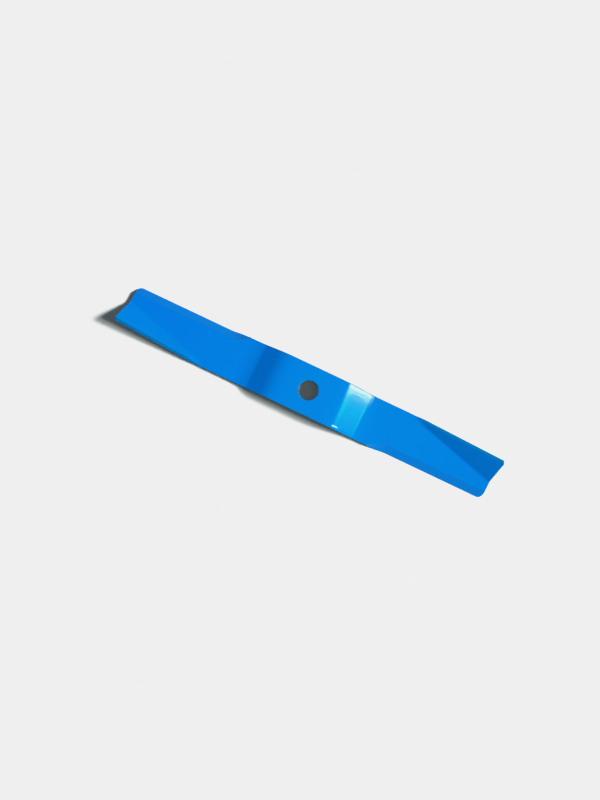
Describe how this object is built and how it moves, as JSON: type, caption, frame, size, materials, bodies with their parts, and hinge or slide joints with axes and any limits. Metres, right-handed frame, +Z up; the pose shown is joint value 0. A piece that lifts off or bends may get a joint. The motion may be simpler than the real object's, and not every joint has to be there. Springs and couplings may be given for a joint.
{
  "type": "rotary mower blade",
  "caption": "One-piece rotary mower blade: flat steel bar with a spindle bore, joggled wings, ground cutting bevels and folded-up lift wings, painted gloss blue.",
  "frame": {"origin": "on the bore axis, at the plane that the undersides of the wings lie on", "axes": "+X along the blade towards one tip, +Y towards the trailing edge of that wing, +Z up along the bore axis, the way the lift wings point"},
  "size_m": [0.5002, 0.0608, 0.0267],
  "materials": {
    "blue_paint": "gloss enamel over steel"
  },
  "bodies": {
    "root": {"blade": "blue_paint"}
  },
  "joints": []
}
